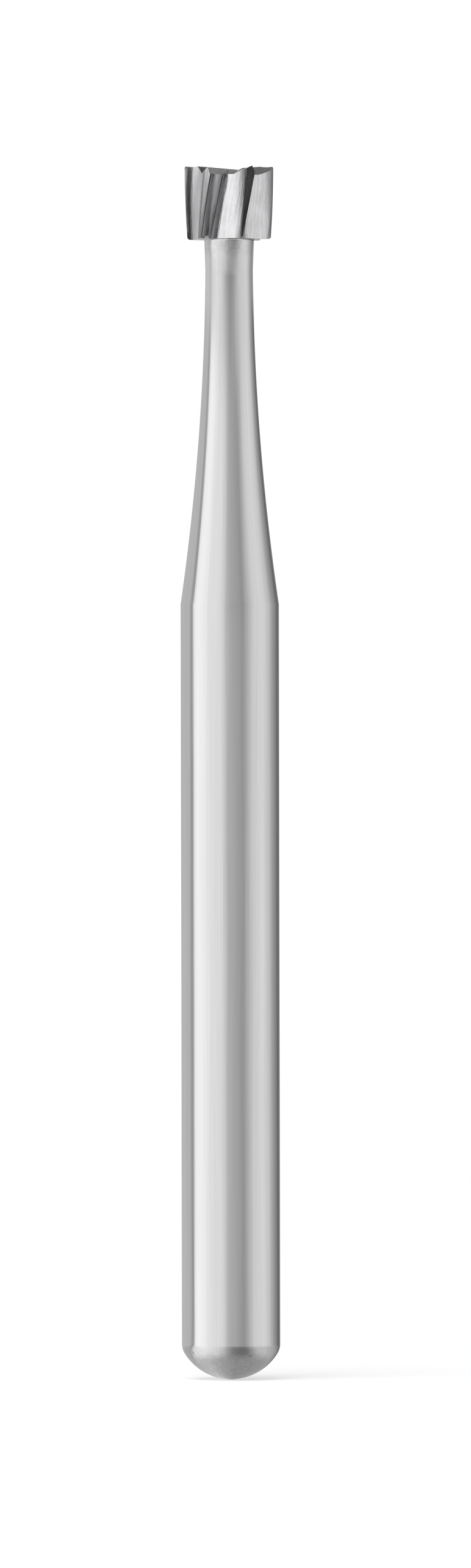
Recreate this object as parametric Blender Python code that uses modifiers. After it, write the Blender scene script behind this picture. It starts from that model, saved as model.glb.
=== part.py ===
"""Inverted-cone dental bur: a ground carbide cutting head joined to a turned steel shank.

The origin is the middle of the rounded shank end, and +Z runs along the axis to the tip.
Angles about the axis are measured from the front, which is -Y, towards +X.
"""

import math

import bmesh
import bpy
from mathutils import Matrix, Vector

MM = 0.001

# Whole bur
OVERALL_LENGTH = 19.75 * MM

# Shank and its rounded end
SHANK_DIAMETER = 1.600 * MM
DOME_FLATTENING = 0.09 * MM
END_EDGE_RADIUS = 0.30 * MM

# Neck, which widens along one long hollow curve to a crisp shoulder on the shank
SHOULDER_DROP = 7.13 * MM
NECK_DIAMETER = 0.774 * MM
NECK_CURVE_RADIUS = 40.0 * MM
WAIST_DROP = 0.50 * MM

# Carbide stub between the head and the joint with the steel
STUB_DIAMETER = 0.806 * MM
STUB_FILLET = 0.035 * MM
STUB_DEPTH_IN_HEAD = 0.30 * MM
JOINT_DROP = 0.18 * MM

# Cutting head, widest at its flat end
HEAD_DIAMETER = 1.456 * MM
HEAD_LENGTH = 1.19 * MM
HEAD_TAPER = math.radians(1.75)
TIP_CORNER_RADIUS = 0.040 * MM
HEEL_CORNER_RADIUS = 0.045 * MM

# Blades, which climb a right-hand helix; each has a flat land behind its edge and a round back
BLADES = 6
FIRST_EDGE_ANGLE = math.radians(-23.5)
HELIX_TURN = math.radians(19.1)
LAND_WIDTH = 0.145 * MM
HEEL_LAND_WIDTH = 0.035 * MM
LAND_RELIEF = math.radians(24.0)
BACK_RADIUS = 0.65 * MM
HEEL_BACK_RADIUS = 1.10 * MM

# Flutes, whose hollow rake starts at the edge and ends ahead of it in a crisp valley; they are
# shallower and steeper at the heel
FLUTE_DEPTH = 0.283 * MM
HEEL_FLUTE_DEPTH = 0.225 * MM
VALLEY_LEAD = math.radians(12.3)
HEEL_VALLEY_LEAD = math.radians(0.8)
RAKE_RADIUS = 0.250 * MM

# End teeth, ground in opposite pairs: how far each pair's corner lies below the tip, how much its
# edge dips towards the axis and how far the edge lags behind the blade; the first pair is level
# and runs across the middle, and the last one leaves the rake whole at the corner
PAIR_DROPS = (0.042 * MM, 0.010 * MM, -0.012 * MM)
PAIR_DIPS = (math.radians(0.0), math.radians(9.5), math.radians(4.0))
PAIR_LAGS = (math.radians(5.5), math.radians(4.0), math.radians(-3.0))
END_RELIEF_ANGLE = math.radians(24.0)
END_WALL_LEAN = math.radians(19.0)
END_GASH_DEPTH = 0.150 * MM

# Fineness of the round shapes
TURNED_STEPS = 64
HEAD_STEPS = 96
NECK_CURVE_STEPS = 18
DOME_STEPS = 8
CORNER_STEPS = 5
BACK_STEPS = 7
RAKE_STEPS = 8
FILLET_STEPS = 4
HELIX_STEPS = 12
MERGE_DISTANCE = 0.001 * MM

# How far a cutting shape runs past the surface it cuts, and how far the blank clears the edges
CUT_MARGIN = 0.25 * MM
BLANK_CLEARANCE = 0.002 * MM

# Metals, and the angle from which an edge between two faces is sharp
CARBIDE_COLOUR = (0.50, 0.50, 0.51)
CARBIDE_ROUGHNESS = 0.28
STEEL_COLOUR = (0.62, 0.62, 0.63)
STEEL_ROUGHNESS = 0.22
SHARP_ANGLE = math.radians(20.0)

# Heights along the axis that the pieces share
TIP_Z = OVERALL_LENGTH
HEEL_Z = TIP_Z - HEAD_LENGTH
JOINT_Z = HEEL_Z - JOINT_DROP
WAIST_Z = HEEL_Z - WAIST_DROP
SHOULDER_Z = TIP_Z - SHOULDER_DROP

# Radii that the pieces share
SHANK_RADIUS = SHANK_DIAMETER / 2
NECK_RADIUS = NECK_DIAMETER / 2
STUB_RADIUS = STUB_DIAMETER / 2
TIP_RADIUS = HEAD_DIAMETER / 2
HEEL_RADIUS = TIP_RADIUS - HEAD_LENGTH * math.tan(HEAD_TAPER)
END_DOME_RADIUS = SHANK_RADIUS + DOME_FLATTENING
BLADE_PITCH = math.tau / BLADES

UP = Vector((0.0, 0.0, 1.0))


def polar(radius, angle):
    """Point of a cross-section, with the angle measured from the front towards +X."""
    return Vector((radius * math.sin(angle), -radius * math.cos(angle)))


def between(tip_value, heel_value, below_tip):
    """A size of the head at a share of its length below the tip."""
    return tip_value + (heel_value - tip_value) * below_tip


def neck_radius(z):
    """Radius of the straight taper from the stub down to the waist."""
    share = (HEEL_Z - z) / (HEEL_Z - WAIST_Z)
    return STUB_RADIUS + (NECK_RADIUS - STUB_RADIUS) * share


def arc_between(start, end, radius, steps, side):
    """Points from start to end on an arc; side 1 puts its centre left of the way, -1 right."""
    start = Vector(start)
    chord = Vector(end) - start
    across = Vector((-chord.y, chord.x)).normalized()
    rise = math.sqrt(radius ** 2 - (chord.length / 2) ** 2)
    centre = start + chord / 2 + across * rise * side
    half_sweep = math.asin(chord.length / 2 / radius)
    spoke = start - centre
    turn = 2 * half_sweep * side / steps
    return [centre + Matrix.Rotation(turn * step, 2) @ spoke for step in range(steps + 1)]


def rounded_corner(corner, before, after, radius, steps):
    """Arc that rounds a corner between the directions back to one point and on to the next."""
    corner = Vector(corner)
    back = (Vector(before) - corner).normalized()
    onward = (Vector(after) - corner).normalized()
    half_angle = back.angle(onward) / 2
    reach = radius / math.tan(half_angle)
    turn = back.x * onward.y - back.y * onward.x
    side = -1 if turn > 0 else 1
    return arc_between(corner + back * reach, corner + onward * reach, radius, steps, side)


def new_collection(name):
    collection = bpy.data.collections.new(name)
    bpy.context.scene.collection.children.link(collection)
    return collection


def metal(name, colour, roughness):
    material = bpy.data.materials.new(name)
    material.use_nodes = True
    shader = material.node_tree.nodes["Principled BSDF"]
    shader.inputs["Base Color"].default_value = (*colour, 1.0)
    shader.inputs["Metallic"].default_value = 1.0
    shader.inputs["Roughness"].default_value = roughness
    return material


def mesh_object(name, bm, collection):
    """Turns a bmesh into an object with smooth faces between its sharp edges."""
    bmesh.ops.recalc_face_normals(bm, faces=bm.faces)
    mesh = bpy.data.meshes.new(name)
    bm.to_mesh(mesh)
    bm.free()
    mesh.shade_smooth()
    mesh.set_sharp_from_angle(angle=SHARP_ANGLE)
    thing = bpy.data.objects.new(name, mesh)
    collection.objects.link(thing)
    return thing


def turned(name, profile, steps, collection):
    """Turned piece: a profile of radius and height points, run top to bottom, about Z."""
    mesh = bpy.data.meshes.new(name)
    points = [(radius, 0.0, height) for radius, height in profile]
    edges = [(index, index + 1) for index in range(len(points) - 1)]
    mesh.from_pydata(points, edges, [])
    thing = bpy.data.objects.new(name, mesh)
    collection.objects.link(thing)
    screw = thing.modifiers.new("Turn", "SCREW")
    screw.angle = math.tau
    screw.steps = steps
    screw.render_steps = steps
    screw.use_merge_vertices = True
    screw.merge_threshold = MERGE_DISTANCE
    screw.use_smooth_shade = True
    return thing


def as_cutter(thing):
    thing.hide_render = True
    thing.display_type = "WIRE"
    return thing


def boolean(thing, operand, operation):
    """Joins or cuts with the manifold solver: on a piece this small the exact one loses the head."""
    cut = thing.modifiers.new(operand.name, "BOOLEAN")
    cut.object = operand
    cut.operation = operation
    cut.solver = "MANIFOLD"


def head_blank(collection):
    """The turned cone that the blades are ground from, rounded at its two outer corners."""
    tip = (TIP_RADIUS + BLANK_CLEARANCE, TIP_Z)
    heel = (HEEL_RADIUS + BLANK_CLEARANCE, HEEL_Z)
    top = (0.0, TIP_Z)
    bottom = (0.0, HEEL_Z)
    profile = [top]
    profile += rounded_corner(tip, top, heel, TIP_CORNER_RADIUS, CORNER_STEPS)
    profile += rounded_corner(heel, tip, bottom, HEEL_CORNER_RADIUS, CORNER_STEPS)
    profile.append(bottom)
    return as_cutter(turned("head_blank", profile, HEAD_STEPS, collection))


def head_stub(collection):
    """The stub that carries the head, with a small fillet under it and a root inside it."""
    under_head = (STUB_RADIUS + STUB_FILLET, HEEL_Z)
    stub_top = (STUB_RADIUS, HEEL_Z - STUB_FILLET)
    profile = [
        (0.0, HEEL_Z + STUB_DEPTH_IN_HEAD),
        (NECK_RADIUS, HEEL_Z + STUB_DEPTH_IN_HEAD),
        (NECK_RADIUS, HEEL_Z + STUB_RADIUS + STUB_FILLET - NECK_RADIUS),
    ]
    profile += arc_between(under_head, stub_top, STUB_FILLET, FILLET_STEPS, 1)
    profile.append((neck_radius(JOINT_Z), JOINT_Z))
    profile.append((0.0, JOINT_Z))
    return as_cutter(turned("head_stub", profile, TURNED_STEPS, collection))


def blade_outline(edge_angle, below_tip):
    """One blade's share of a cross-section: edge, land, back, and the hollow rake behind it."""
    radius = between(TIP_RADIUS, HEEL_RADIUS, below_tip)
    land_width = between(LAND_WIDTH, HEEL_LAND_WIDTH, below_tip)
    depth = between(FLUTE_DEPTH, HEEL_FLUTE_DEPTH, below_tip)
    lead = between(VALLEY_LEAD, HEEL_VALLEY_LEAD, below_tip)
    back_radius = between(BACK_RADIUS, HEEL_BACK_RADIUS, below_tip)
    next_angle = edge_angle - BLADE_PITCH
    edge = polar(radius, edge_angle)
    land_end = edge + polar(land_width, edge_angle - math.pi / 2 - LAND_RELIEF)
    valley = polar(radius - depth, next_angle + lead)
    back = arc_between(land_end, valley, back_radius, BACK_STEPS, -1)
    rake = arc_between(valley, polar(radius, next_angle), RAKE_RADIUS, RAKE_STEPS, 1)
    return [edge] + back + rake[1:-1]


def fluted_bar(name, collection):
    """The six-bladed section drawn up the axis while it turns and grows towards the tip."""
    bm = bmesh.new()
    corners = [bm.verts.new() for _ in section(0.0)]
    face = bm.faces.new(corners)
    bottom_z = HEEL_Z - CUT_MARGIN
    rise = (TIP_Z + CUT_MARGIN - bottom_z) / HELIX_STEPS
    for step in range(HELIX_STEPS + 1):
        if step:
            drawn = bmesh.ops.extrude_face_region(bm, geom=[face])["geom"]
            if step > 1:
                bmesh.ops.delete(bm, geom=[face], context="FACES_ONLY")
            face = next(item for item in drawn if isinstance(item, bmesh.types.BMFace))
        height = bottom_z + rise * step
        below_tip = (TIP_Z - height) / HEAD_LENGTH
        placing = Matrix.Translation((0.0, 0.0, height))
        placing = placing @ Matrix.Rotation(-HELIX_TURN * below_tip, 4, "Z")
        for vertex, point in zip(face.verts, section(below_tip)):
            vertex.co = placing @ point.to_3d()
    return mesh_object(name, bm, collection)


def section(below_tip):
    """Outline of all the blades at a share of the head's length below the tip, before its turn."""
    outline = []
    for blade in range(BLADES):
        outline += blade_outline(FIRST_EDGE_ANGLE - blade * BLADE_PITCH, below_tip)
    return outline


def end_edge(blade):
    """The outer end of a blade's end edge, the edge's way outwards and the way that it cuts."""
    pair = blade % (BLADES // 2) % len(PAIR_DROPS)
    dip = PAIR_DIPS[pair]
    angle = FIRST_EDGE_ANGLE - PAIR_LAGS[pair] + blade * BLADE_PITCH
    outward = polar(1.0, angle).to_3d()
    ahead = polar(1.0, angle + math.pi / 2).to_3d()
    corner = outward * TIP_RADIUS + UP * (TIP_Z - PAIR_DROPS[pair])
    return corner, outward * math.cos(dip) + UP * math.sin(dip), ahead


def end_gash(blade, collection):
    """Wedge between two end teeth: one's steep front wall, the next one's relief and a floor."""
    bm = bmesh.new()
    bmesh.ops.create_cube(bm, size=2 * HEAD_DIAMETER)
    bmesh.ops.translate(bm, verts=bm.verts, vec=UP * TIP_Z)
    wall_point, wall_outward, wall_ahead = end_edge(blade)
    relief_point, relief_outward, relief_ahead = end_edge(blade + 1)
    down_wall = wall_ahead * math.sin(END_WALL_LEAN) - UP * math.cos(END_WALL_LEAN)
    down_relief = -relief_ahead * math.cos(END_RELIEF_ANGLE) - UP * math.sin(END_RELIEF_ANGLE)
    wall = (wall_point, wall_outward.cross(down_wall))
    relief = (relief_point, down_relief.cross(relief_outward))
    floor = (UP * (TIP_Z - END_GASH_DEPTH), UP)
    for point, normal in (wall, relief, floor):
        cut = bmesh.ops.bisect_plane(
            bm,
            geom=bm.verts[:] + bm.edges[:] + bm.faces[:],
            dist=MERGE_DISTANCE / 10,
            plane_co=point,
            plane_no=normal,
            clear_inner=True,
        )
        rim = [item for item in cut["geom_cut"] if isinstance(item, bmesh.types.BMEdge)]
        bmesh.ops.contextual_create(bm, geom=rim)
    return as_cutter(mesh_object(f"end_gash_{blade + 1}", bm, collection))


def cutting_head(parts, cutters):
    head = fluted_bar("cutting_head", parts)
    boolean(head, head_blank(cutters), "INTERSECT")
    boolean(head, head_stub(cutters), "UNION")
    for blade in range(BLADES):
        boolean(head, end_gash(blade, cutters), "DIFFERENCE")
    carbide = metal("ground tungsten carbide", CARBIDE_COLOUR, CARBIDE_ROUGHNESS)
    head.data.materials.append(carbide)


def shank(parts):
    """Neck, shank and rounded end, turned in one piece."""
    waist = (NECK_RADIUS, WAIST_Z)
    shoulder = (SHANK_RADIUS, SHOULDER_Z)
    edge_centre_radius = SHANK_RADIUS - END_EDGE_RADIUS
    edge_reach = END_DOME_RADIUS - END_EDGE_RADIUS
    edge_centre_z = END_DOME_RADIUS - math.sqrt(edge_reach ** 2 - edge_centre_radius ** 2)
    lean = math.asin(edge_centre_radius / edge_reach)
    dome_edge = (END_DOME_RADIUS * math.sin(lean), END_DOME_RADIUS * (1 - math.cos(lean)))
    profile = [(0.0, JOINT_Z), (neck_radius(JOINT_Z), JOINT_Z)]
    profile += arc_between(waist, shoulder, NECK_CURVE_RADIUS, NECK_CURVE_STEPS, 1)
    cylinder_end = (SHANK_RADIUS, edge_centre_z)
    profile += arc_between(cylinder_end, dome_edge, END_EDGE_RADIUS, CORNER_STEPS, -1)
    profile += arc_between(dome_edge, (0.0, 0.0), END_DOME_RADIUS, DOME_STEPS, -1)[1:]
    steel = metal("polished stainless steel", STEEL_COLOUR, STEEL_ROUGHNESS)
    turned("shank", profile, TURNED_STEPS, parts).data.materials.append(steel)


def main():
    for thing in list(bpy.data.objects):
        bpy.data.objects.remove(thing, do_unlink=True)
    parts = new_collection("dental_bur")
    cutters = new_collection("cutters")
    cutting_head(parts, cutters)
    shank(parts)


main()
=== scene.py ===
"""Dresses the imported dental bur: finer metal pieces, ground and polished finishes, and a studio.

The pieces are modelled in millimetres, where small cuts stay exact, and are then brought to size.
Angles about the axis are measured from the front, which is -Y, towards +X.
"""

import math

import bmesh
import bpy
from bpy.props import FloatProperty, FloatVectorProperty, IntProperty, PointerProperty
from mathutils import Matrix, Vector


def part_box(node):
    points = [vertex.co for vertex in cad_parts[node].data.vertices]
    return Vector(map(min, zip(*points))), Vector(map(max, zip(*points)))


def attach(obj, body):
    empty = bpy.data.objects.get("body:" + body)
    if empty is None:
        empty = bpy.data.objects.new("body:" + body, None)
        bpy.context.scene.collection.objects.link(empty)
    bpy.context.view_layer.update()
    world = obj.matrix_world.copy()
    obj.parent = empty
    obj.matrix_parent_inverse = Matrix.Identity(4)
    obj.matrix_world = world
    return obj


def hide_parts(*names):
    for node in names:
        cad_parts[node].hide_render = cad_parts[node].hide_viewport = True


bl_info = {
    "name": "Dental bur",
    "version": (1, 0, 0),
    "blender": (4, 5, 0),
    "location": "3D View > Sidebar > Bur",
    "description": "Models a friction-grip dental bur and its studio around the packed frame",
    "category": "Object",
}

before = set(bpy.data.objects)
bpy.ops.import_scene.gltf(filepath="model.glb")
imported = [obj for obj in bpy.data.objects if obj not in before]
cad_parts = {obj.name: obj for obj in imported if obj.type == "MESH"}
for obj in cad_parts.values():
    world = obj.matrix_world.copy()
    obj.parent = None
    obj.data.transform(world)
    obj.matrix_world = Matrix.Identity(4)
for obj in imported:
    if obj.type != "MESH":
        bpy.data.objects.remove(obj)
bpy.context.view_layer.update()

MM = 0.001

SHANK_LOW, SHANK_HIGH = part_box("shank")
HEAD_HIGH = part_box("cutting_head")[1]
JOINT_Z = SHANK_HIGH.z / MM
TIP_Z = HEAD_HIGH.z / MM

UP = Vector((0.0, 0.0, 1.0))

# Faces round a flat disc or a tent, and steps round a rounded rim
DISC_SIDES = 96
RIM_STEPS = 8

# Points closer than this, in millimetres, count as one
TOUCHING = 1e-6


def size(name, description, millimetres):
    return FloatProperty(
        name=name, description=description, default=millimetres * MM, unit="LENGTH", precision=5
    )


def angle(name, description, degrees):
    return FloatProperty(
        name=name, description=description, default=math.radians(degrees), subtype="ANGLE"
    )


class ShankSizes(bpy.types.PropertyGroup):
    """Sizes of the turned steel: neck, shank and rounded end."""

    diameter: FloatProperty(
        name="Shank diameter",
        description="Diameter of the part that the chuck grips",
        default=SHANK_HIGH.x - SHANK_LOW.x,
        unit="LENGTH",
    )
    shoulder_drop: size(
        "Shoulder drop", "How far below the tip the hollow neck meets the straight shank", 7.13
    )
    neck_diameter: size("Neck diameter", "Diameter of the neck at its thinnest", 0.774)
    waist_drop: size("Waist drop", "How far below the head the neck is thinnest", 0.50)
    neck_curve_radius: size(
        "Neck curve", "Radius of the long hollow curve from the waist to the shoulder", 40.0
    )
    dome_flattening: size(
        "Dome flattening", "How much larger the end dome's radius is than the shank's", 0.09
    )
    edge_radius: size("End edge radius", "Radius that blends the dome into the shank", 0.30)
    sides: IntProperty(
        name="Sides", description="How many faces go round the steel", default=192, min=48
    )


class HeadSizes(bpy.types.PropertyGroup):
    """Sizes of the ground carbide head."""

    diameter: size("Head diameter", "Diameter over the blades at the flat end", 1.456)
    length: size("Head length", "Length of the blades along the axis", 1.19)
    taper: angle("Head taper", "Angle by which each side leans in towards the neck", 1.75)
    tip_rim: size("Tip rim", "Radius that rounds the blades at the flat end", 0.040)
    heel_rim: size("Heel rim", "Radius that rounds the blades at the neck end", 0.045)
    blades: IntProperty(
        name="Blades", description="How many blades are ground round the head", default=6, min=4
    )
    first_edge: angle(
        "First edge", "Angle of the first edge at the flat end, from the front", -22.4
    )
    helix_turn: angle("Helix turn", "How far the blades turn over the head's length", 19.1)
    land_width: size("Land width", "Width of the flat strip behind each edge, at the tip", 0.145)
    heel_land_width: size("Heel land width", "Width of that strip at the neck end", 0.035)
    land_relief: angle("Land relief", "Angle by which the strip falls away from the edge", 24.0)
    back_radius: size("Back radius", "Radius of each blade's round back, at the tip", 0.65)
    heel_back_radius: size("Heel back radius", "Radius of that back at the neck end", 1.10)
    flute_depth: size("Flute depth", "Depth of the valleys below the edges, at the tip", 0.283)
    heel_flute_depth: size("Heel flute depth", "Depth of the valleys at the neck end", 0.225)
    valley_lead: angle(
        "Valley lead", "How far each valley runs ahead of its edge, at the tip", 12.3
    )
    heel_valley_lead: angle("Heel valley lead", "That angle at the neck end", 0.8)
    rake_radius: size("Rake radius", "Radius of the hollow rake in front of each edge", 0.25)
    pair_drops: FloatVectorProperty(
        name="Pair drops",
        description="How far the corners of each pair of end teeth lie below the tip",
        default=(0.042 * MM, 0.010 * MM, -0.012 * MM),
        unit="LENGTH",
    )
    pair_dips: FloatVectorProperty(
        name="Pair dips",
        description="How much each pair's end edge dips towards the axis",
        default=(0.0, math.radians(9.5), math.radians(4.0)),
        unit="ROTATION",
    )
    pair_lags: FloatVectorProperty(
        name="Pair lags",
        description="How far each pair's end edge lags behind the edge of its blade",
        default=(math.radians(6.6), math.radians(5.1), math.radians(-1.9)),
        unit="ROTATION",
    )
    end_relief: angle("End relief", "Slope of the end teeth behind their edges", 24.0)
    end_wall_lean: angle("End wall lean", "Lean of the steep wall in front of an end tooth", 19.0)
    end_gash_depth: size("End gash depth", "Depth of the flat floors between the end teeth", 0.15)
    stub_diameter: size("Stub diameter", "Diameter of the carbide stub under the head", 0.806)
    stub_fillet: size("Stub fillet", "Radius of the fillet between stub and head", 0.035)
    stub_root: size("Stub root", "How far the stub runs up inside the head", 0.30)


class FinishSettings(bpy.types.PropertyGroup):
    """Colours and finishes of the two metals."""

    steel_colour: FloatVectorProperty(
        name="Steel colour",
        description="Colour of the polished stainless steel",
        default=(0.62, 0.62, 0.62),
        subtype="COLOR",
    )
    steel_roughness: FloatProperty(
        name="Steel roughness",
        description="Roughness of the polished steel between its streaks",
        default=0.10,
        subtype="FACTOR",
    )
    carbide_colour: FloatVectorProperty(
        name="Carbide colour",
        description="Colour of the ground tungsten carbide",
        default=(0.59, 0.59, 0.60),
        subtype="COLOR",
    )
    carbide_roughness: FloatProperty(
        name="Carbide roughness",
        description="Roughness of the carbide between its grinding lines",
        default=0.12,
        subtype="FACTOR",
    )


class StudioSettings(bpy.types.PropertyGroup):
    """Camera, floor and lights."""

    camera_distance: size("Camera distance", "Distance from the camera to the bur's axis", 210.0)
    camera_height: size("Camera height", "Height of the middle of the picture", 9.69)
    camera_offset: size(
        "Camera offset", "How far the picture's middle lies to the right of the axis", 0.088
    )
    camera_roll: angle("Camera roll", "Roll that gives the bur its slight lean", -0.105)
    picture_height: size(
        "Picture height", "Height that the picture takes in at the bur's axis", 25.53
    )
    tent_radius: size("Tent radius", "Radius of the light tent that the metal mirrors", 14.0)
    tent_height: size("Tent height", "Height of the light tent", 46.0)
    floor_radius: size("Floor radius", "Radius of the plain floor", 2000.0)
    floor_colour: FloatVectorProperty(
        name="Floor colour",
        description="Colour of the plain floor",
        default=(0.80, 0.80, 0.80),
        subtype="COLOR",
    )
    lamp_power: FloatProperty(
        name="Lamp power",
        description="Power of the soft lamp over the floor",
        default=0.55,
        unit="POWER",
    )


class Signal:
    """A shader socket whose arithmetic adds Math nodes."""

    def __init__(self, recipe, socket):
        self.recipe = recipe
        self.socket = socket

    def maths(self, operation, *values):
        sockets = dict(enumerate((self, *values)))
        return self.recipe.node("ShaderNodeMath", {"operation": operation}, sockets)

    def __add__(self, other):
        return self.maths("ADD", other)

    __radd__ = __add__

    def __mul__(self, other):
        return self.maths("MULTIPLY", other)

    __rmul__ = __mul__

    def __sub__(self, other):
        return self.maths("SUBTRACT", other)

    def __rsub__(self, other):
        return (self * -1.0) + other

    def mixed_with(self, other, share):
        """Goes from this signal to the other as the share goes from 0 to 1."""
        return self * (1.0 - share) + other * share

    def clamped(self):
        return self.maths("MAXIMUM", 0.0).maths("MINIMUM", 1.0)

    def between(self, low, high):
        """Rises smoothly from 0 at low to 1 at high."""
        settings = {"interpolation_type": "SMOOTHSTEP", "clamp": True}
        sockets = {"Value": self, "From Min": low, "From Max": high}
        return self.recipe.node("ShaderNodeMapRange", settings, sockets)


# Places of a Mix node's colour sockets: the factor, the two colours and the result
MIX_SOCKETS = (0, 6, 7, 2)


class Recipe:
    """A material or world whose nodes are added one by one."""

    spot_core = 0.2

    def __init__(self, owner):
        owner.use_nodes = True
        self.tree = owner.node_tree

    def node(self, kind, settings=None, sockets=None, output=0):
        """Adds a node, makes its settings, fills its sockets and gives one of its outputs."""
        made = self.tree.nodes.new(kind)
        for name, value in (settings or {}).items():
            if name == "stops":
                self.fill_ramp(made.color_ramp, value)
            else:
                setattr(made, name, value)
        for name, value in (sockets or {}).items():
            self.feed(made.inputs[name], value)
        return Signal(self, made.outputs[output])

    def fill_ramp(self, ramp, stops):
        while len(ramp.elements) < len(stops):
            ramp.elements.new(1.0)
        for element, (position, level) in zip(ramp.elements, stops):
            element.position = position
            element.color = (level, level, level, 1.0)

    def feed(self, socket, value):
        if isinstance(value, Signal):
            self.tree.links.new(value.socket, socket)
        else:
            socket.default_value = value

    def parts(self, vector):
        """The x, y and z of a vector."""
        split = self.tree.nodes.new("ShaderNodeSeparateXYZ")
        self.feed(split.inputs[0], vector)
        return [Signal(self, output) for output in split.outputs]

    def vector(self, x, y, z):
        return self.node("ShaderNodeCombineXYZ", {}, {"X": x, "Y": y, "Z": z})

    def object_point(self):
        """The point on the piece, in millimetres."""
        point = self.node("ShaderNodeTexCoord", {}, {}, "Object")
        settings = {"operation": "SCALE"}
        return self.node("ShaderNodeVectorMath", settings, {0: point, "Scale": 1.0 / MM})

    def noise(self, vector, texture):
        scale, detail, roughness = texture
        sockets = {"Vector": vector, "Scale": scale, "Detail": detail, "Roughness": roughness}
        return self.node("ShaderNodeTexNoise", {"noise_dimensions": "3D"}, sockets, "Fac")

    def distance(self, point, place):
        sockets = {0: point, 1: place}
        return self.node("ShaderNodeVectorMath", {"operation": "DISTANCE"}, sockets, "Value")

    def spots(self, point, places):
        """1 at each place of a list of places and radii, falling softly to 0 at its radius."""
        total = 0.0
        for place, radius in places:
            core = radius * self.spot_core
            total = self.distance(point, place).between(radius, core) + total
        return total.clamped()

    def mixed_colour(self, factor, first, second):
        """Goes from the first colour to the second as the factor goes from 0 to 1."""
        factor_place, first_place, second_place, result_place = MIX_SOCKETS
        sockets = {factor_place: factor, first_place: first, second_place: second}
        return self.node("ShaderNodeMix", {"data_type": "RGBA"}, sockets, result_place)

    def bumped(self, height, bump, normal=None):
        depth, strength = bump
        sockets = {"Height": height, "Distance": depth * MM, "Strength": strength}
        if normal is not None:
            sockets["Normal"] = normal
        return self.node("ShaderNodeBump", {}, sockets, "Normal")

    def glow(self, level):
        """Light of an even grey level."""
        return self.node("ShaderNodeEmission", {}, {"Color": level, "Strength": 1.0}, "Emission")

    def show(self, shader):
        self.tree.links.new(shader.socket, self.tree.nodes["Material Output"].inputs["Surface"])

    def seen_by(self, *rays):
        """1 for the named kinds of rays and 0 for the others."""
        path = self.tree.nodes.new("ShaderNodeLightPath")
        total = 0.0
        for ray in rays:
            total = Signal(self, path.outputs[ray]) + total
        return total.clamped()

    def share_of_turn(self, x, y):
        """The angle about the axis as a share of a turn, with the front in the middle."""
        return x.maths("ARCTAN2", y * -1.0) * (0.5 / math.pi) + 0.5

    def bands(self, share, bands):
        """Brightness round the tent; a ramp's levels end at 1, so they are halved on their way."""
        stops = [((turn + 180.0) / 360.0, level / 2.0) for turn, level in bands]
        return self.node("ShaderNodeValToRGB", {"stops": stops}, {"Fac": share}, "Color") * 2.0


def shaded(colour, shade):
    return (*(channel * shade for channel in colour), 1.0)


def all_shaded(colour, shades):
    return [shaded(colour, shade) for shade in shades]


class SteelLook:
    """How the steel looks. A texture has a scale, a detail and a roughness, a bump has a depth and
    a strength, and a range is where something goes from none to all. Lengths are in millimetres.
    """

    streaks = (26.0, 4.0, 0.62)
    streak_rise = 0.012
    broad_streaks = (4.0, 2.0, 0.5)
    broad_rise = 0.03
    broad_share = 0.4
    grain = (16.0, 3.0, 0.6)
    ragged = (7.0, 4.0, 0.65)
    dome_raggedness = 0.30
    dome_range = (-0.02, -0.20)
    joint_raggedness = 0.20
    joint_range = (-0.16, -0.02)
    joint_wear = 0.7
    tone_range = (0.34, 0.66)
    polished_shades = (0.955, 1.03)
    grain_range = (0.32, 0.68)
    dull_shades = (0.88, 1.0)
    stain_shade = 0.45
    stain_share = 0.8
    streak_roughness = 0.06
    worn_roughness = 0.13
    stain_roughness = 0.1
    bump = (0.0015, 0.5)

    # Small stains where the steel rounds into the dome: place and radius
    stains = (
        ((-0.30, -0.66, 0.27), 0.06),
        ((-0.60, -0.46, 0.46), 0.05),
        ((0.30, -0.66, 0.42), 0.05),
        ((0.44, -0.58, 0.62), 0.03),
    )


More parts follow.
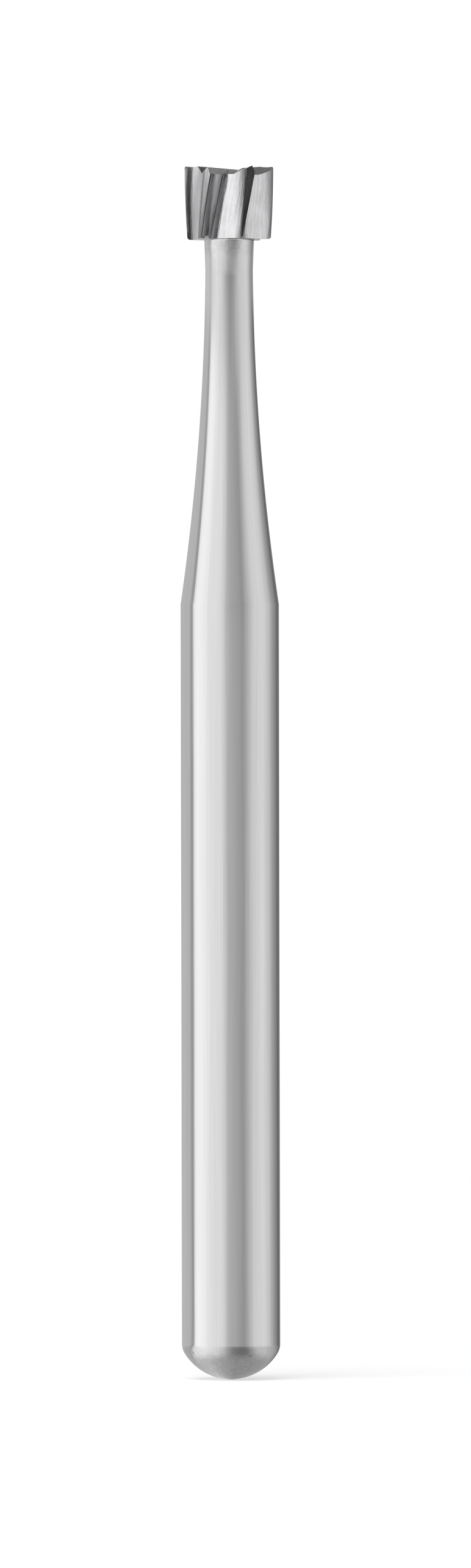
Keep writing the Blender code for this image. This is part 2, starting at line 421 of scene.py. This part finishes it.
def steel_finish(finish, dome_z):
    """Polished steel with fine lengthwise streaks, a mottled joint and a duller dome."""
    look = SteelLook
    material = bpy.data.materials.new("polished stainless steel")
    recipe = Recipe(material)
    shader = recipe.tree.nodes["Principled BSDF"]
    point = recipe.object_point()
    x, y, z = recipe.parts(point)
    flat = recipe.vector(x, y, 0.0)
    spoke = recipe.node("ShaderNodeVectorMath", {"operation": "NORMALIZE"}, {0: flat})
    east, north, _ = recipe.parts(spoke)
    streaks = recipe.noise(recipe.vector(east, north, z * look.streak_rise), look.streaks)
    broad = recipe.noise(recipe.vector(east, north, z * look.broad_rise), look.broad_streaks)
    grain = recipe.noise(point, look.grain)
    ragged = recipe.noise(point, look.ragged) - 0.5
    dome_start, dome_full = look.dome_range
    dome = (z + ragged * look.dome_raggedness).between(dome_z + dome_start, dome_z + dome_full)
    joint_start, joint_full = look.joint_range
    joint_height = z + ragged * look.joint_raggedness
    joint = joint_height.between(JOINT_Z + joint_start, JOINT_Z + joint_full)
    worn = (dome + joint * look.joint_wear).clamped()
    stains = recipe.spots(point, look.stains)
    tone = streaks.mixed_with(broad, look.broad_share).between(*look.tone_range)
    polished = recipe.mixed_colour(tone, *all_shaded(finish.steel_colour, look.polished_shades))
    dull_tone = grain.between(*look.grain_range)
    dull = recipe.mixed_colour(dull_tone, *all_shaded(finish.steel_colour, look.dull_shades))
    clean = recipe.mixed_colour(worn, polished, dull)
    stain_colour = shaded(finish.steel_colour, look.stain_shade)
    colour = recipe.mixed_colour(stains * look.stain_share, clean, stain_colour)
    recipe.feed(shader.inputs["Base Color"], colour)
    shader.inputs["Metallic"].default_value = 1.0
    roughness = (streaks - 0.5) * look.streak_roughness + finish.steel_roughness
    roughness = roughness + worn * look.worn_roughness + stains * look.stain_roughness
    recipe.feed(shader.inputs["Roughness"], roughness)
    lines = recipe.bumped(streaks, look.bump)
    recipe.feed(shader.inputs["Normal"], recipe.bumped(grain * worn, look.bump, lines))
    return material


class CarbideLook:
    """How the carbide looks, in the same terms as the steel."""

    lines = (38.0, 3.0, 0.6)
    line_rise = 0.045
    scores = (15.0, 3.0, 0.55)
    score_range = (0.30, 0.44)
    score_share = 0.3
    patches = (5.0, 3.0, 0.6)
    patch_share = 0.3
    tone_range = (0.36, 0.60)
    ground_shades = (0.84, 1.06)
    # Painted shade along the bottom of each flute: where it rises, where it falls and how much of
    # it darkens the colour
    valley_shade_rise = (0.80, 0.90)
    valley_shade_fall = (0.05, 0.0)
    valley_shade_share = 0.7
    pit_share = 0.5
    # Darkness of the real pits and of the painted shade in the flutes
    pit_and_shade_level = 0.40
    stub_range = (0.02, -0.03)
    stub_tone_range = (0.36, 0.64)
    stub_shades = (0.84, 0.99)
    line_roughness = 0.16
    patch_roughness = 0.06
    stub_roughness = 0.10
    pit_roughness = 0.15
    sideways_range = (0.75, 0.35)
    end_face_share = 0.2
    line_bump = (0.0035, 0.6)
    patch_bump = (0.003, 0.3)

    # Soft pits on the second blade's back: place and radius
    pits = (
        ((0.02, -0.62, 19.46), 0.035),
        ((-0.11, -0.53, 19.27), 0.030),
    )


def painted_valley_shade(recipe, sizes, point):
    """Painted shade: 1 along the bottom of each flute, on the rake's side, and 0 elsewhere, where
    it darkens the carbide's colour.
    """
    x, y, z = recipe.parts(point)
    below = (TIP_Z - z) * (MM / sizes.length)
    turn_with_tip = sizes.first_edge + sizes.valley_lead
    turn_per_length = sizes.heel_valley_lead - sizes.valley_lead - sizes.helix_turn
    ahead = x.maths("ARCTAN2", y * -1.0) - turn_with_tip - below * turn_per_length
    share = (ahead * (sizes.blades / math.tau)).maths("FRACT")
    rise = share.between(*CarbideLook.valley_shade_rise)
    return (rise + share.between(*CarbideLook.valley_shade_fall)).clamped()


def carbide_finish(finish, sizes):
    """Ground carbide with lines that follow the blades' helix, a few small pits, and painted shade
    along the bottom of each flute.
    """
    look = CarbideLook
    material = bpy.data.materials.new("ground tungsten carbide")
    recipe = Recipe(material)
    shader = recipe.tree.nodes["Principled BSDF"]
    head_length = sizes.length / MM
    point = recipe.object_point()
    height = recipe.parts(point)[2] - TIP_Z
    unwound = recipe.node(
        "ShaderNodeVectorRotate",
        {"rotation_type": "Z_AXIS"},
        {"Vector": point, "Angle": height * (-sizes.helix_turn / head_length)},
    )
    across, deep, _ = recipe.parts(unwound)
    along = recipe.vector(across, deep, height * look.line_rise)
    lines = recipe.noise(along, look.lines)
    scores = recipe.noise(along, look.scores).between(*look.score_range)
    # Painted shade along the bottom of each flute
    hollow = painted_valley_shade(recipe, sizes, point)
    patches = recipe.noise(point, look.patches)
    pits = recipe.spots(point, look.pits)
    stub_start, stub_full = look.stub_range
    stub = height.between(stub_start - head_length, stub_full - head_length)
    tone = lines.mixed_with(patches, look.patch_share).between(*look.tone_range)
    tone = tone * (scores * look.score_share + (1.0 - look.score_share))
    ground = recipe.mixed_colour(tone, *all_shaded(finish.carbide_colour, look.ground_shades))
    # The real pits and the painted shade in the flutes darken the ground colour
    pits_and_valley_shade = (pits * look.pit_share + hollow * look.valley_shade_share).clamped()
    pit_and_shade_colour = shaded(finish.carbide_colour, look.pit_and_shade_level)
    blades = recipe.mixed_colour(pits_and_valley_shade, ground, pit_and_shade_colour)
    stub_tone = patches.between(*look.stub_tone_range)
    fused = recipe.mixed_colour(stub_tone, *all_shaded(finish.steel_colour, look.stub_shades))
    recipe.feed(shader.inputs["Base Color"], recipe.mixed_colour(stub, blades, fused))
    shader.inputs["Metallic"].default_value = 1.0
    roughness = (lines - 0.5) * look.line_roughness + (patches - 0.5) * look.patch_roughness
    roughness = roughness + finish.carbide_roughness + stub * look.stub_roughness
    recipe.feed(shader.inputs["Roughness"], roughness + pits * look.pit_roughness)
    facing = recipe.node("ShaderNodeNewGeometry", {}, {}, "Normal")
    sideways = recipe.parts(facing)[2].maths("ABSOLUTE").between(*look.sideways_range)
    line_share = sideways * (1.0 - look.end_face_share) + look.end_face_share
    ridges = recipe.bumped(lines * line_share, look.line_bump)
    recipe.feed(shader.inputs["Normal"], recipe.bumped(patches - pits, look.patch_bump, ridges))
    return material


def polar(radius, turn):
    """Point of a cross-section, with the angle measured from the front towards +X."""
    return Vector((radius * math.sin(turn), -radius * math.cos(turn), 0.0))


def mixed(first, second, share):
    return first + (second - first) * share


def arc(start, end, radius, steps, side):
    """Points from start to end on an arc; side 1 puts its centre left of the way, -1 right."""
    chord = end - start
    across = Vector((-chord.y, chord.x, 0.0)).normalized()
    rise = math.sqrt(radius ** 2 - (chord.length / 2) ** 2)
    centre = start + chord / 2 + across * rise * side
    turn = 2 * math.asin(chord.length / 2 / radius) * side / steps
    spoke = start - centre
    return [centre + Matrix.Rotation(turn * step, 3, "Z") @ spoke for step in range(steps + 1)]


def profile_arc(start, end, radius, steps, side):
    """An arc of a turned profile, as pairs of radius and height."""
    points = arc(Vector((*start, 0.0)), Vector((*end, 0.0)), radius, steps, side)
    return [(point.x, point.y) for point in points]


def rounded_rim(corner, before, after, radius):
    """Arc that rounds a corner of a profile between the ways back and onward."""
    here = Vector((*corner, 0.0))
    back = (Vector((*before, 0.0)) - here).normalized()
    onward = (Vector((*after, 0.0)) - here).normalized()
    reach = radius / math.tan(back.angle(onward) / 2)
    side = -1 if back.cross(onward).z > 0 else 1
    start, end = (here + way * reach for way in (back, onward))
    return profile_arc(start.xy, end.xy, radius, RIM_STEPS, side)


def start_piece(name):
    """Starts a piece from the primitive that was just added, and opens it for editing."""
    piece = bpy.context.object
    piece.name = name
    piece.data.name = name
    bpy.ops.object.transform_apply(location=True, rotation=True, scale=True)
    bpy.ops.object.mode_set(mode="EDIT")
    bpy.ops.mesh.select_all(action="SELECT")
    return piece


def close_piece():
    bpy.ops.mesh.select_all(action="SELECT")
    bpy.ops.mesh.normals_make_consistent(inside=False)
    bpy.ops.object.mode_set(mode="OBJECT")


def pick_only(piece):
    bpy.ops.object.select_all(action="DESELECT")
    piece.select_set(True)
    bpy.context.view_layer.objects.active = piece


def turned(name, profile, sides):
    """Turned piece: a ring that is drawn and resized along a profile from its top to its end."""
    bpy.ops.object.select_all(action="DESELECT")
    radius, height = profile[0]
    bpy.ops.mesh.primitive_circle_add(
        vertices=sides, radius=radius, fill_type="NGON", location=(0.0, 0.0, height)
    )
    piece = start_piece(name)
    for next_radius, next_height in profile[1:]:
        bpy.ops.mesh.extrude_region_move(
            TRANSFORM_OT_translate={"value": (0.0, 0.0, next_height - height)}
        )
        share = next_radius / radius
        bpy.ops.transform.resize(
            value=(share, share, 1.0), center_override=(0.0, 0.0, next_height)
        )
        radius, height = next_radius, next_height
    close_piece()
    return piece


def close_pole(piece, height):
    """Draws the last small ring of a dome together into its pole."""
    pick_only(piece)
    bpy.ops.object.mode_set(mode="EDIT")
    bpy.ops.mesh.select_all(action="DESELECT")
    bm = bmesh.from_edit_mesh(piece.data)
    for vertex in bm.verts:
        vertex.select = abs(vertex.co.z - height) < TOUCHING
    bm.select_flush(True)
    bmesh.update_edit_mesh(piece.data)
    bpy.ops.mesh.merge(type="CENTER")
    close_piece()


def combine(piece, other, operation):
    """Joins, cuts or trims a piece with another, which is used up."""
    change = piece.modifiers.new(other.name, "BOOLEAN")
    change.object = other
    change.operation = operation
    change.solver = "MANIFOLD"
    pick_only(piece)
    bpy.ops.object.modifier_apply(modifier=change.name)
    bpy.data.objects.remove(other, do_unlink=True)


def sliced(point, normal):
    """Cuts away what lies ahead of a plane in the piece being edited, and closes the cut."""
    bpy.ops.mesh.select_all(action="SELECT")
    bpy.ops.mesh.bisect(
        plane_co=point, plane_no=normal, use_fill=True, clear_outer=True, threshold=TOUCHING
    )


def finish_piece(piece, material, smooth_angle, node):
    """Brings a piece to its real size, smooths it and seats it on the frame."""
    pick_only(piece)
    piece.scale = (MM, MM, MM)
    bpy.ops.object.transform_apply(location=True, rotation=True, scale=True)
    bpy.ops.object.shade_smooth_by_angle(angle=smooth_angle)
    piece.data.materials.clear()
    piece.data.materials.append(material)
    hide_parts(node)
    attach(piece, "root")


def neck_radius(scene, z):
    """Radius of the straight taper from the stub down to the waist."""
    stub = scene.bur_head.stub_diameter / 2 / MM
    waist = scene.bur_shank.neck_diameter / 2 / MM
    heel_z = TIP_Z - scene.bur_head.length / MM
    return mixed(stub, waist, (heel_z - z) / (scene.bur_shank.waist_drop / MM))


class BUR_OT_shank(bpy.types.Operator):
    """Models the neck, shank and rounded end in polished steel"""

    bl_idname = "bur.shank"
    bl_label = "Steel shank"

    neck_steps = 48
    edge_steps = 12
    dome_steps = 20
    pole_radius = 0.01
    smooth_angle = math.radians(6.0)

    def execute(self, context):
        scene = context.scene
        sizes = scene.bur_shank
        shank = sizes.diameter / 2 / MM
        waist_z = TIP_Z - (scene.bur_head.length + sizes.waist_drop) / MM
        waist = (sizes.neck_diameter / 2 / MM, waist_z)
        shoulder = (shank, TIP_Z - sizes.shoulder_drop / MM)
        edge = sizes.edge_radius / MM
        dome = shank + sizes.dome_flattening / MM
        reach = dome - edge
        edge_z = dome - math.sqrt(reach ** 2 - (shank - edge) ** 2)
        lean = math.asin((shank - edge) / reach)
        dome_edge = (dome * math.sin(lean), dome * (1 - math.cos(lean)))
        pole = (self.pole_radius, dome - math.sqrt(dome ** 2 - self.pole_radius ** 2))
        neck_curve = sizes.neck_curve_radius / MM
        profile = [(neck_radius(scene, JOINT_Z), JOINT_Z)]
        profile += profile_arc(waist, shoulder, neck_curve, self.neck_steps, 1)
        profile += profile_arc((shank, edge_z), dome_edge, edge, self.edge_steps, -1)
        profile += profile_arc(dome_edge, pole, dome, self.dome_steps, -1)[1:]
        piece = turned("steel_shank", profile, sizes.sides)
        close_pole(piece, pole[1])
        material = steel_finish(scene.bur_finish, edge_z)
        finish_piece(piece, material, self.smooth_angle, "shank")
        return {"FINISHED"}


class BUR_OT_head(bpy.types.Operator):
    """Grinds the six-bladed carbide head and the stub under it"""

    bl_idname = "bur.head"
    bl_label = "Carbide head"

    rings = 64
    blank_sides = 288
    land_steps = 4
    back_steps = 24
    rake_steps = 20
    fillet_steps = 6
    margin = 0.25
    clearance = 0.002
    smooth_angle = math.radians(18.0)

    def execute(self, context):
        scene = context.scene
        sizes = scene.bur_head
        self.sizes = sizes
        self.radius = sizes.diameter / 2 / MM
        self.length = sizes.length / MM
        self.heel_radius = self.radius - self.length * math.tan(sizes.taper)
        self.pitch = math.tau / sizes.blades
        head = self.fluted_bar()
        combine(head, self.blank(), "INTERSECT")
        combine(head, self.stub(scene), "UNION")
        for blade in range(sizes.blades):
            combine(head, self.end_gash(blade), "DIFFERENCE")
        head.location.z = TIP_Z
        pick_only(head)
        bpy.ops.object.transform_apply(location=True, rotation=True, scale=True)
        material = carbide_finish(scene.bur_finish, sizes)
        finish_piece(head, material, self.smooth_angle, "cutting_head")
        return {"FINISHED"}

    def section(self, below_tip):
        """Outline of all the blades at a share of the head's length below the tip."""
        sizes = self.sizes
        radius = mixed(self.radius, self.heel_radius, below_tip)
        land_width = mixed(sizes.land_width, sizes.heel_land_width, below_tip) / MM
        depth = mixed(sizes.flute_depth, sizes.heel_flute_depth, below_tip) / MM
        lead = mixed(sizes.valley_lead, sizes.heel_valley_lead, below_tip)
        back_radius = mixed(sizes.back_radius, sizes.heel_back_radius, below_tip) / MM
        outline = []
        for blade in range(sizes.blades):
            turn = sizes.first_edge - sizes.helix_turn * below_tip - self.pitch * blade
            edge = polar(radius, turn)
            land_end = edge + polar(land_width, turn - math.pi / 2 - sizes.land_relief)
            valley = polar(radius - depth, turn - self.pitch + lead)
            next_edge = polar(radius, turn - self.pitch)
            for step in range(self.land_steps):
                outline.append(edge.lerp(land_end, step / self.land_steps))
            outline += arc(land_end, valley, back_radius, self.back_steps, -1)[:-1]
            outline += arc(valley, next_edge, sizes.rake_radius / MM, self.rake_steps, 1)[:-1]
        return outline

    def fluted_bar(self):
        """A round bar drawn down the axis in rings, with each ring then set on its section."""
        corners = len(self.section(0.0))
        rise = (self.length + 2 * self.margin) / self.rings
        bpy.ops.object.select_all(action="DESELECT")
        bpy.ops.mesh.primitive_circle_add(
            vertices=corners, radius=1.0, fill_type="NGON", location=(0.0, 0.0, self.margin)
        )
        bar = start_piece("carbide_head")
        for _ in range(self.rings):
            bpy.ops.mesh.extrude_region_move(TRANSFORM_OT_translate={"value": (0.0, 0.0, -rise)})
        heights = [self.margin - rise * ring for ring in range(self.rings + 1)]
        sections = [self.section(-height / self.length) for height in heights]
        bm = bmesh.from_edit_mesh(bar.data)
        for vertex in bm.verts:
            ring = round((self.margin - vertex.co.z) / rise)
            turn = math.atan2(vertex.co.x, vertex.co.y)
            place = sections[ring][round(turn / math.tau * corners) % corners]
            vertex.co = (place.x, place.y, heights[ring])
        bmesh.update_edit_mesh(bar.data)
        close_piece()
        return bar

    def blank(self):
        """The turned cone that trims the blades, rounded at its two rims."""
        tip = (self.radius + self.clearance, 0.0)
        heel = (self.heel_radius + self.clearance, -self.length)
        inside_tip = (tip[0] / 2, 0.0)
        inside_heel = (heel[0] / 2, -self.length)
        profile = [inside_tip]
        profile += rounded_rim(tip, inside_tip, heel, self.sizes.tip_rim / MM)
        profile += rounded_rim(heel, tip, inside_heel, self.sizes.heel_rim / MM)
        profile.append(inside_heel)
        return turned("blank", profile, self.blank_sides)

    def stub(self, scene):
        """The stub that carries the head, with a small fillet under it and a root inside it."""
        radius = self.sizes.stub_diameter / 2 / MM
        fillet = self.sizes.stub_fillet / MM
        inner = scene.bur_shank.neck_diameter / 2 / MM
        profile = [
            (inner, self.sizes.stub_root / MM - self.length),
            (inner, radius + fillet - inner - self.length),
        ]
        under = (radius + fillet, -self.length)
        below = (radius, -self.length - fillet)
        profile += profile_arc(under, below, fillet, self.fillet_steps, 1)
        profile.append((neck_radius(scene, JOINT_Z), JOINT_Z - TIP_Z))
        return turned("stub", profile, scene.bur_shank.sides)

    def end_edge(self, blade):
        """The outer end of a blade's end edge, its way outwards and the way that it cuts."""
        sizes = self.sizes
        pair = blade % (sizes.blades // 2) % len(sizes.pair_drops)
        dip = sizes.pair_dips[pair]
        turn = sizes.first_edge - sizes.pair_lags[pair] + blade * self.pitch
        outward = polar(1.0, turn)
        ahead = polar(1.0, turn + math.pi / 2)
        corner = outward * self.radius - UP * sizes.pair_drops[pair] / MM
        return corner, outward * math.cos(dip) + UP * math.sin(dip), ahead

    def end_gash(self, blade):
        """Wedge between two end teeth: a steep front wall, the next one's relief and a floor."""
        wall_point, wall_outward, wall_ahead = self.end_edge(blade)
        relief_point, relief_outward, relief_ahead = self.end_edge(blade + 1)
        lean = self.sizes.end_wall_lean
        relief = self.sizes.end_relief
        down_wall = wall_ahead * math.sin(lean) - UP * math.cos(lean)
        down_relief = -relief_ahead * math.cos(relief) - UP * math.sin(relief)
        bpy.ops.object.select_all(action="DESELECT")
        bpy.ops.mesh.primitive_cube_add(size=4 * self.radius, location=(0.0, 0.0, 0.0))
        wedge = start_piece("end_gash")
        sliced(wall_point, down_wall.cross(wall_outward))
        sliced(relief_point, relief_outward.cross(down_relief))
        sliced(-UP * self.sizes.end_gash_depth / MM, -UP)
        close_piece()
        return wedge


class BUR_OT_studio(bpy.types.Operator):
    """Sets up the camera, the floor, the light tent and the soft lamp"""

    bl_idname = "bur.studio"
    bl_label = "Studio"

    # In metres
    clip_start = 0.01
    lamp_size = 0.30
    lamp_place = Vector((-0.10, -0.14, 0.36))

    # In millimetres
    sensor = 36.0
    base_lift = 0.005
    floor_glow_range = (30.0, 500.0)
    under_range = (0.70, 1.15)
    base_range = (1.3, 8.0)

    floor_glow = (0.50, 0.80)
    floor_roughness = 0.9
    world_light = 0.4

    def execute(self, context):
        studio = context.scene.bur_studio
        context.scene.view_settings.view_transform = "Standard"
        self.camera(context.scene, studio)
        self.floor(studio)
        self.tent(studio)
        self.lamp(context.scene, studio)
        self.world(context.scene)
        return {"FINISHED"}

    def camera(self, scene, studio):
        lens = bpy.data.cameras.new("camera")
        lens.sensor_fit = "VERTICAL"
        lens.sensor_height = self.sensor
        lens.lens = self.sensor * studio.camera_distance / studio.picture_height
        lens.clip_start = self.clip_start
        camera = bpy.data.objects.new("camera", lens)
        camera.location = (studio.camera_offset, -studio.camera_distance, studio.camera_height)
        level = Matrix.Rotation(math.pi / 2, 3, "X")
        roll = Matrix.Rotation(studio.camera_roll, 3, "Z")
        camera.rotation_euler = (level @ roll).to_euler()
        scene.collection.objects.link(camera)
        scene.camera = camera

    def floor(self, studio):
        """A plain floor, which the camera sees a little brighter far away, up to white."""
        bpy.ops.object.select_all(action="DESELECT")
        bpy.ops.mesh.primitive_circle_add(
            vertices=DISC_SIDES, radius=studio.floor_radius, fill_type="NGON"
        )
        floor = bpy.context.object
        floor.name = "floor"
        material = bpy.data.materials.new("pale floor")
        recipe = Recipe(material)
        shader = recipe.tree.nodes["Principled BSDF"]
        shader.inputs["Base Color"].default_value = (*studio.floor_colour, 1.0)
        shader.inputs["Roughness"].default_value = self.floor_roughness
        shader.inputs["Specular IOR Level"].default_value = 0.0
        near, far = self.floor_glow
        away = recipe.distance(recipe.object_point(), (0.0, 0.0, 0.0))
        level = away.between(*self.floor_glow_range) * (far - near) + near
        glow = recipe.glow(recipe.seen_by("Is Camera Ray") * level)
        surface = Signal(recipe, shader.outputs["BSDF"])
        recipe.show(recipe.node("ShaderNodeAddShader", {}, {0: glow, 1: surface}))
        floor.data.materials.append(material)

    def tent(self, studio):
        """A wall and a base round the bur that only mirror reflections show, lit in soft bands."""
        bpy.ops.object.select_all(action="DESELECT")
        bpy.ops.mesh.primitive_cylinder_add(
            vertices=DISC_SIDES,
            radius=studio.tent_radius,
            depth=studio.tent_height,
            end_fill_type="NOTHING",
            location=(0.0, 0.0, studio.tent_height / 2),
        )
        recipe = self.mirrored_only("light_tent")
        x, y, z = recipe.parts(recipe.object_point())
        share = recipe.share_of_turn(x, y)
        level = recipe.bands(share, SHANK_BANDS)
        for bands, (fade_in, full, fade_out, gone) in TENT_LAYERS:
            layer = z.between(fade_in, full) * z.between(gone, fade_out)
            level = level.mixed_with(recipe.bands(share, bands), layer)
        recipe.show(recipe.glow(level))
        bpy.ops.object.select_all(action="DESELECT")
        bpy.ops.mesh.primitive_circle_add(
            vertices=DISC_SIDES,
            radius=studio.tent_radius,
            fill_type="NGON",
            location=(0.0, 0.0, self.base_lift * MM),
        )
        recipe = self.mirrored_only("tent_base")
        point = recipe.object_point()
        x, y, _ = recipe.parts(point)
        away = recipe.distance(point, (0.0, 0.0, 0.0))
        share = recipe.share_of_turn(x, y)
        level = recipe.bands(share, UNDER_BANDS)
        for bands, span in ((BASE_BANDS, self.under_range), (SHANK_BANDS, self.base_range)):
            level = level.mixed_with(recipe.bands(share, bands), away.between(*span))
        recipe.show(recipe.glow(level))

    def mirrored_only(self, name):
        """Names a new stage object, shows it to mirror rays only and starts its material."""
        screen = bpy.context.object
        screen.name = name
        bpy.ops.object.transform_apply(location=True, rotation=True, scale=True)
        for kind in ("camera", "diffuse", "transmission", "volume_scatter", "shadow"):
            setattr(screen, f"visible_{kind}", False)
        material = bpy.data.materials.new(name.replace("_", " "))
        recipe = Recipe(material)
        screen.data.materials.append(material)
        return recipe

    def lamp(self, scene, studio):
        light = bpy.data.lights.new("soft lamp", "AREA")
        light.shape = "DISK"
        light.size = self.lamp_size
        light.energy = studio.lamp_power
        lamp = bpy.data.objects.new("soft_lamp", light)
        lamp.location = self.lamp_place
        lamp.rotation_euler = (-self.lamp_place).to_track_quat("-Z", "Y").to_euler()
        lamp.visible_camera = False
        lamp.visible_glossy = False
        scene.collection.objects.link(lamp)

    def world(self, scene):
        """White wherever it is seen, and a weaker white as light."""
        scene.world = scene.world or bpy.data.worlds.new("studio")
        recipe = Recipe(scene.world)
        background = recipe.tree.nodes["Background"]
        background.inputs["Color"].default_value = (1.0, 1.0, 1.0, 1.0)
        seen = recipe.seen_by("Is Camera Ray", "Is Glossy Ray", "Is Transmission Ray")
        strength = seen * (1.0 - self.world_light) + self.world_light
        recipe.feed(background.inputs["Strength"], strength)


# The two sides of the light tent: brightness at an angle from the front towards +X, in degrees
LEFT_SIDE = (
    (-180.0, 0.50),
    (-135.0, 0.70),
    (-108.0, 0.70),
    (-101.0, 0.45),
    (-95.0, 0.50),
    (-91.0, 1.30),
    (-80.0, 1.42),
    (-65.0, 1.36),
)
RIGHT_SIDE = (
    (80.0, 1.06),
    (100.0, 0.85),
    (115.0, 0.52),
    (145.0, 0.16),
    (180.0, 0.50),
)

# The tent beside the shank: a bright left, a grey front and a pale right
SHANK_BANDS = (
    *LEFT_SIDE,
    (-45.0, 1.18),
    (-25.0, 1.13),
    (-15.0, 0.98),
    (-5.0, 0.68),
    (30.0, 0.46),
    (55.0, 0.96),
    *RIGHT_SIDE,
)

# The low view in the hollow rakes, with a dark place in front
RAKE_BANDS = (
    *LEFT_SIDE,
    (-45.0, 1.34),
    (-17.0, 1.05),
    (-10.0, 0.28),
    (0.0, 0.10),
    (25.0, 0.07),
    (36.0, 0.18),
    (50.0, 0.45),
    (60.0, 0.98),
    *RIGHT_SIDE,
)

# What the upper neck mirrors
NECK_BANDS = (
    (-180.0, 0.50),
    (-130.0, 0.85),
    (-100.0, 0.80),
    (-85.0, 1.01),
    (-60.0, 1.08),
    (-35.0, 0.95),
    (-20.0, 0.77),
    (-10.0, 0.59),
    (5.0, 0.48),
    (20.0, 0.58),
    (30.0, 0.78),
    (90.0, 1.00),
    (130.0, 0.40),
    (180.0, 0.50),
)

# The tent beside the head, where the dark camera shows in the blades
HEAD_BANDS = (
    (-180.0, 0.50),
    (-144.0, 0.45),
    (-112.0, 0.68),
    (-100.0, 0.62),
    (-90.0, 1.10),
    (-80.0, 1.38),
    (-46.0, 1.42),
    (-36.0, 1.24),
    (-29.0, 0.95),
    (-24.0, 0.52),
    (-19.0, 0.28),
    (-5.0, 0.07),
    (34.0, 0.07),
    (40.0, 0.92),
    (48.0, 1.08),
    (82.0, 1.02),
    (95.0, 0.56),
    (110.0, 0.42),
    (150.0, 0.25),
    (180.0, 0.50),
)

# The dim top of the tent
TOP_BANDS = ((-180.0, 0.22), (180.0, 0.22))

# Layers over the shank's bands: where each fades in, is full, starts to fade and has gone, in mm
TENT_LAYERS = (
    (RAKE_BANDS, (13.1, 13.5, 15.7, 16.1)),
    (NECK_BANDS, (17.9, 18.4, 60.0, 61.0)),
    (HEAD_BANDS, (18.7, 19.4, 60.0, 61.0)),
    (TOP_BANDS, (24.0, 34.0, 60.0, 61.0)),
)

# The middle of the tent's base, which shows low in the dome
UNDER_BANDS = (
    (-180.0, 0.45),
    (-95.0, 0.66),
    (-50.0, 0.80),
    (-30.0, 0.62),
    (10.0, 0.42),
    (90.0, 0.48),
    (180.0, 0.45),
)

# What lies round that middle and shows higher in the dome
BASE_BANDS = (
    (-180.0, 0.50),
    (-105.0, 0.60),
    (-95.0, 0.50),
    (-85.0, 1.06),
    (-65.0, 1.28),
    (-50.0, 1.23),
    (-25.0, 1.00),
    (-15.0, 0.79),
    (-5.0, 0.48),
    (5.0, 0.29),
    (20.0, 0.22),
    (30.0, 0.26),
    (55.0, 0.75),
    (70.0, 0.80),
    (100.0, 0.60),
    (145.0, 0.20),
    (180.0, 0.50),
)


class BUR_PT_panel(bpy.types.Panel):
    """Lists the bur's pieces and sizes in the sidebar"""

    bl_idname = "BUR_PT_panel"
    bl_label = "Dental bur"
    bl_space_type = "VIEW_3D"
    bl_region_type = "UI"
    bl_category = "Bur"

    def draw(self, context):
        for group in SETTINGS:
            box = self.layout.box()
            for name in group.__annotations__:
                box.prop(getattr(context.scene, SETTINGS[group]), name)
        for operator in (BUR_OT_studio, BUR_OT_shank, BUR_OT_head):
            self.layout.operator(operator.bl_idname)


SETTINGS = {
    ShankSizes: "bur_shank",
    HeadSizes: "bur_head",
    FinishSettings: "bur_finish",
    StudioSettings: "bur_studio",
}
OTHER_CLASSES = (BUR_OT_studio, BUR_OT_shank, BUR_OT_head, BUR_PT_panel)


def register():
    for group, name in SETTINGS.items():
        bpy.utils.register_class(group)
        setattr(bpy.types.Scene, name, PointerProperty(type=group))
    for thing in OTHER_CLASSES:
        bpy.utils.register_class(thing)


def unregister():
    for thing in reversed(OTHER_CLASSES):
        bpy.utils.unregister_class(thing)
    for group, name in reversed(SETTINGS.items()):
        delattr(bpy.types.Scene, name)
        bpy.utils.unregister_class(group)


def main():
    register()
    bpy.ops.bur.studio()
    bpy.ops.bur.shank()
    bpy.ops.bur.head()


if __name__ == "__main__":
    main()
